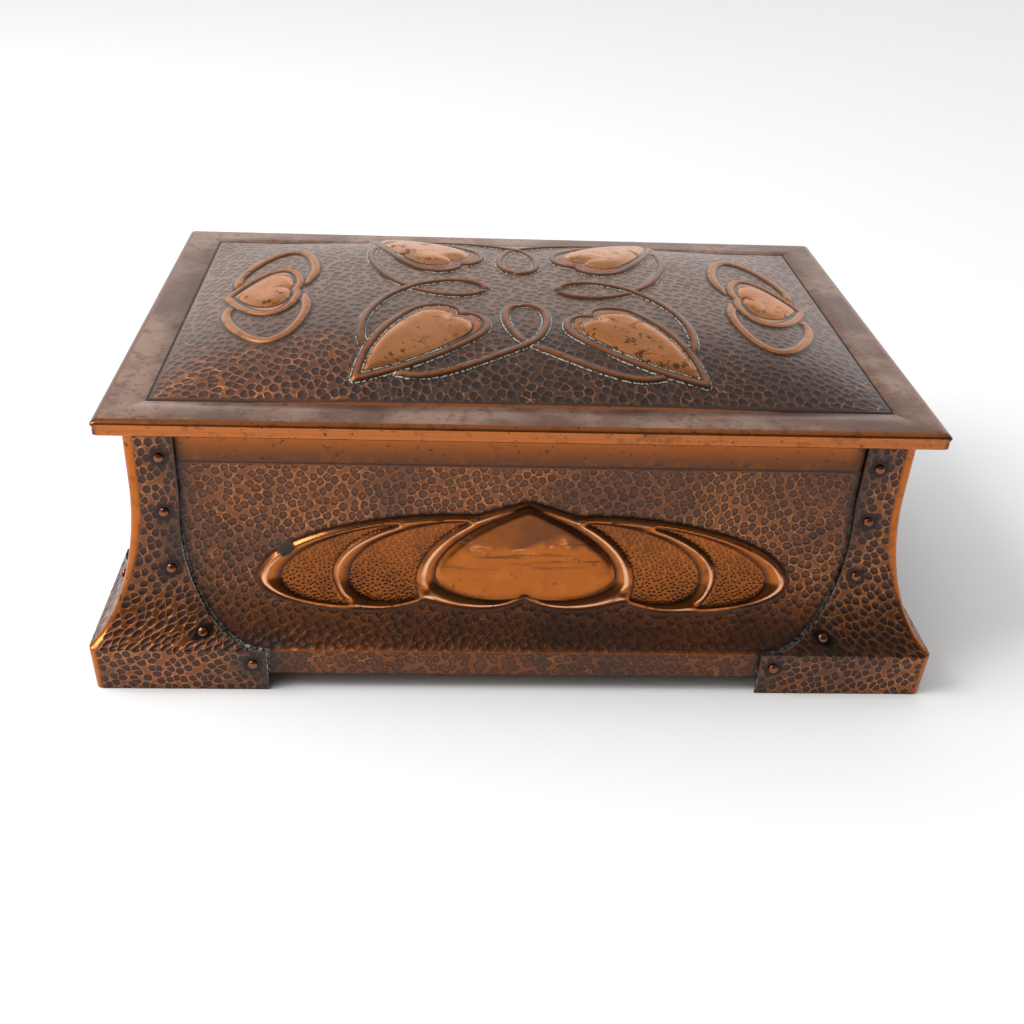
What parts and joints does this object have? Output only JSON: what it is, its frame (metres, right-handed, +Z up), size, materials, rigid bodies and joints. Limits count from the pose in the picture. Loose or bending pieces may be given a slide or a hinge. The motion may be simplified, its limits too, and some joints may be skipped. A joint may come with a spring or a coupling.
{
  "type": "copper casket",
  "caption": "Hammered copper casket with a domed lift-off lid worked with hearts and knotted cord, a raised heart on its front, and riveted corner straps that flare into feet.",
  "frame": {"origin": "on the ground below the middle of the footprint", "axes": "+Z up, the front with the raised heart faces -Y, the length runs along X"},
  "size_m": [0.3228, 0.2188, 0.1242],
  "materials": {
    "hammered_copper": "hammered copper with brown patina in the pits",
    "lid_copper": "patinated copper, polished on the edge, cords and hearts",
    "strap_copper": "hammered copper with polished corners",
    "rivet_copper": "rubbed copper rivet"
  },
  "bodies": {
    "root": {"casing": "hammered_copper", "lid": "lid_copper", "strap_front_right": "strap_copper", "strap_back_right": "strap_copper", "strap_back_left": "strap_copper", "strap_front_left": "strap_copper", "rivet_front_right_a1": "rivet_copper", "rivet_front_right_a2": "rivet_copper", "rivet_front_right_a3": "rivet_copper", "rivet_front_right_a4": "rivet_copper", "rivet_front_right_a5": "rivet_copper", "rivet_front_right_b1": "rivet_copper", "rivet_front_right_b2": "rivet_copper", "rivet_front_right_b3": "rivet_copper", "rivet_front_right_b4": "rivet_copper", "rivet_front_right_b5": "rivet_copper", "rivet_back_right_a1": "rivet_copper", "rivet_back_right_a2": "rivet_copper", "rivet_back_right_a3": "rivet_copper", "rivet_back_right_a4": "rivet_copper", "rivet_back_right_a5": "rivet_copper", "rivet_back_right_b1": "rivet_copper", "rivet_back_right_b2": "rivet_copper", "rivet_back_right_b3": "rivet_copper", "rivet_back_right_b4": "rivet_copper", "rivet_back_right_b5": "rivet_copper", "rivet_back_left_a1": "rivet_copper", "rivet_back_left_a2": "rivet_copper", "rivet_back_left_a3": "rivet_copper", "rivet_back_left_a4": "rivet_copper", "rivet_back_left_a5": "rivet_copper", "rivet_back_left_b1": "rivet_copper", "rivet_back_left_b2": "rivet_copper", "rivet_back_left_b3": "rivet_copper", "rivet_back_left_b4": "rivet_copper", "rivet_back_left_b5": "rivet_copper", "rivet_front_left_a1": "rivet_copper", "rivet_front_left_a2": "rivet_copper", "rivet_front_left_a3": "rivet_copper", "rivet_front_left_a4": "rivet_copper", "rivet_front_left_a5": "rivet_copper", "rivet_front_left_b1": "rivet_copper", "rivet_front_left_b2": "rivet_copper", "rivet_front_left_b3": "rivet_copper", "rivet_front_left_b4": "rivet_copper", "rivet_front_left_b5": "rivet_copper"}
  },
  "joints": []
}
